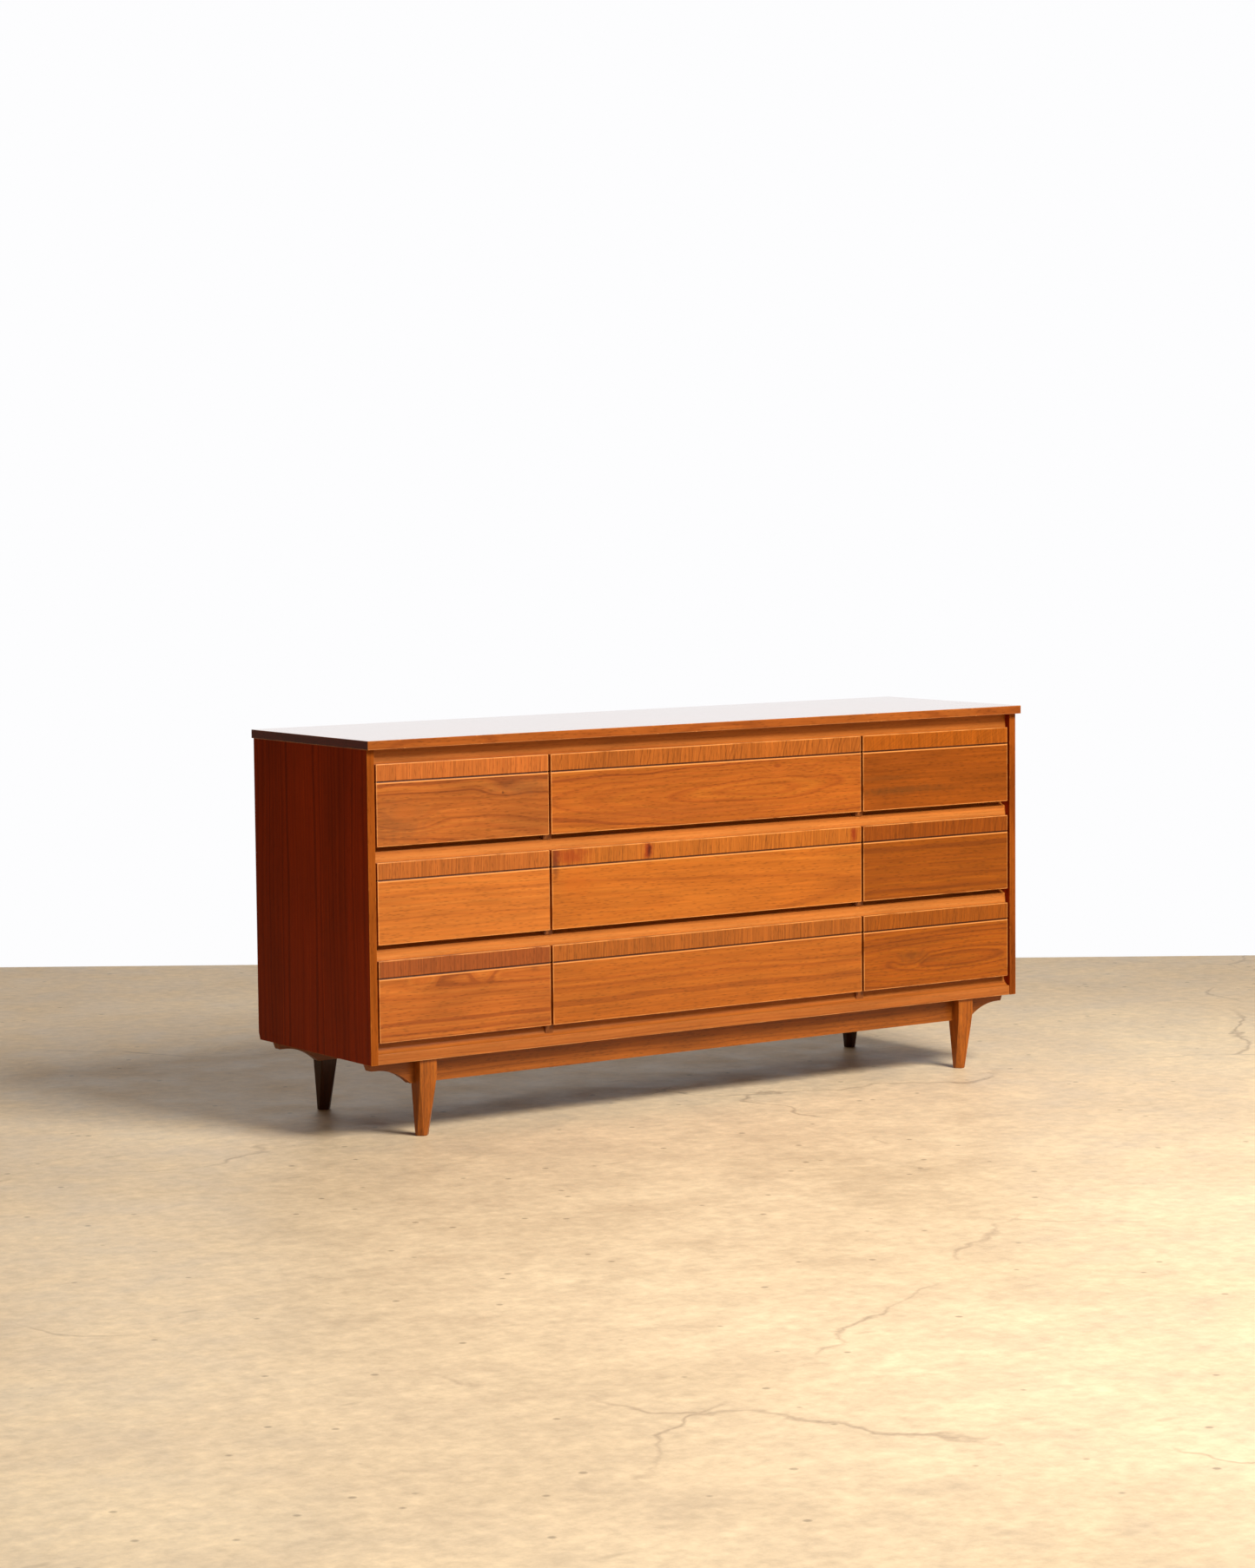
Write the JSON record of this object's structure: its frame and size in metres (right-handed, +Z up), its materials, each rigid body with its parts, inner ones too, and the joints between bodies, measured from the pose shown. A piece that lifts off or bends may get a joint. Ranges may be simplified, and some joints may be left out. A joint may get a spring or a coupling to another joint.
{
  "type": "dresser",
  "caption": "Low walnut dresser with lipped drawer fronts pulled by the finger slit under each, plain panel sides and a bracket base on tapered legs.",
  "frame": {"origin": "on the floor, under the middle of the top's outline", "axes": "+X along the dresser's width, to the right of someone facing it; +Y from the drawers towards the back; +Z up"},
  "size_m": [1.626, 0.457, 0.778],
  "materials": {
    "top_walnut": "glossy clear lacquer over walnut veneer",
    "case_walnut": "satin lacquer over dark-toned walnut veneer, grain upright",
    "front_walnut": "satin lacquer over walnut veneer, grain along the front, upright in the band above the groove",
    "rail_walnut": "satin lacquer over pale-toned solid wood",
    "base_walnut": "satin lacquer over solid walnut",
    "drawer_oak": "thin sealer over oak",
    "guide_beech": "bare planed hardwood",
    "back_hardboard": "bare pressed hardboard"
  },
  "bodies": {
    "case": {"top_panel": "top_walnut", "left_side_panel": "case_walnut", "right_side_panel": "case_walnut", "back_panel": "back_hardboard", "dust_panel": "back_hardboard", "left_partition": "rail_walnut", "right_partition": "rail_walnut", "top_rail": "rail_walnut", "upper_middle_rail": "rail_walnut", "lower_middle_rail": "rail_walnut", "bottom_rail": "rail_walnut", "rear_top_rail": "guide_beech", "rear_upper_middle_rail": "guide_beech", "rear_lower_middle_rail": "guide_beech", "rear_bottom_rail": "guide_beech", "front_apron": "base_walnut", "back_apron": "base_walnut", "front_left_leg": "base_walnut", "front_right_leg": "base_walnut", "back_left_leg": "base_walnut", "back_right_leg": "base_walnut", "upper_left_drawer_guide": "guide_beech", "upper_middle_drawer_guide": "guide_beech", "upper_right_drawer_guide": "guide_beech", "central_left_drawer_guide": "guide_beech", "central_middle_drawer_guide": "guide_beech", "central_right_drawer_guide": "guide_beech", "lower_left_drawer_guide": "guide_beech", "lower_middle_drawer_guide": "guide_beech", "lower_right_drawer_guide": "guide_beech"},
    "upper_left_drawer": {"upper_left_drawer_front": "front_walnut", "upper_left_drawer_box": "drawer_oak", "upper_left_drawer_bottom": "drawer_oak"},
    "upper_middle_drawer": {"upper_middle_drawer_front": "front_walnut", "upper_middle_drawer_box": "drawer_oak", "upper_middle_drawer_bottom": "drawer_oak"},
    "upper_right_drawer": {"upper_right_drawer_front": "front_walnut", "upper_right_drawer_box": "drawer_oak", "upper_right_drawer_bottom": "drawer_oak"},
    "central_left_drawer": {"central_left_drawer_front": "front_walnut", "central_left_drawer_box": "drawer_oak", "central_left_drawer_bottom": "drawer_oak"},
    "central_middle_drawer": {"central_middle_drawer_front": "front_walnut", "central_middle_drawer_box": "drawer_oak", "central_middle_drawer_bottom": "drawer_oak"},
    "central_right_drawer": {"central_right_drawer_front": "front_walnut", "central_right_drawer_box": "drawer_oak", "central_right_drawer_bottom": "drawer_oak"},
    "lower_left_drawer": {"lower_left_drawer_front": "front_walnut", "lower_left_drawer_box": "drawer_oak", "lower_left_drawer_bottom": "drawer_oak"},
    "lower_middle_drawer": {"lower_middle_drawer_front": "front_walnut", "lower_middle_drawer_box": "drawer_oak", "lower_middle_drawer_bottom": "drawer_oak"},
    "lower_right_drawer": {"lower_right_drawer_front": "front_walnut", "lower_right_drawer_box": "drawer_oak", "lower_right_drawer_bottom": "drawer_oak"}
  },
  "joints": [
    {"name": "upper_left_slide", "type": "slide", "parent": "case", "child": "upper_left_drawer", "axis": [0, -1, 0], "range_m": [0, 0.3]},
    {"name": "upper_middle_slide", "type": "slide", "parent": "case", "child": "upper_middle_drawer", "axis": [0, -1, 0], "range_m": [0, 0.3]},
    {"name": "upper_right_slide", "type": "slide", "parent": "case", "child": "upper_right_drawer", "axis": [0, -1, 0], "range_m": [0, 0.3]},
    {"name": "central_left_slide", "type": "slide", "parent": "case", "child": "central_left_drawer", "axis": [0, -1, 0], "range_m": [0, 0.3]},
    {"name": "central_middle_slide", "type": "slide", "parent": "case", "child": "central_middle_drawer", "axis": [0, -1, 0], "range_m": [0, 0.3]},
    {"name": "central_right_slide", "type": "slide", "parent": "case", "child": "central_right_drawer", "axis": [0, -1, 0], "range_m": [0, 0.3]},
    {"name": "lower_left_slide", "type": "slide", "parent": "case", "child": "lower_left_drawer", "axis": [0, -1, 0], "range_m": [0, 0.3]},
    {"name": "lower_middle_slide", "type": "slide", "parent": "case", "child": "lower_middle_drawer", "axis": [0, -1, 0], "range_m": [0, 0.3]},
    {"name": "lower_right_slide", "type": "slide", "parent": "case", "child": "lower_right_drawer", "axis": [0, -1, 0], "range_m": [0, 0.3]}
  ]
}
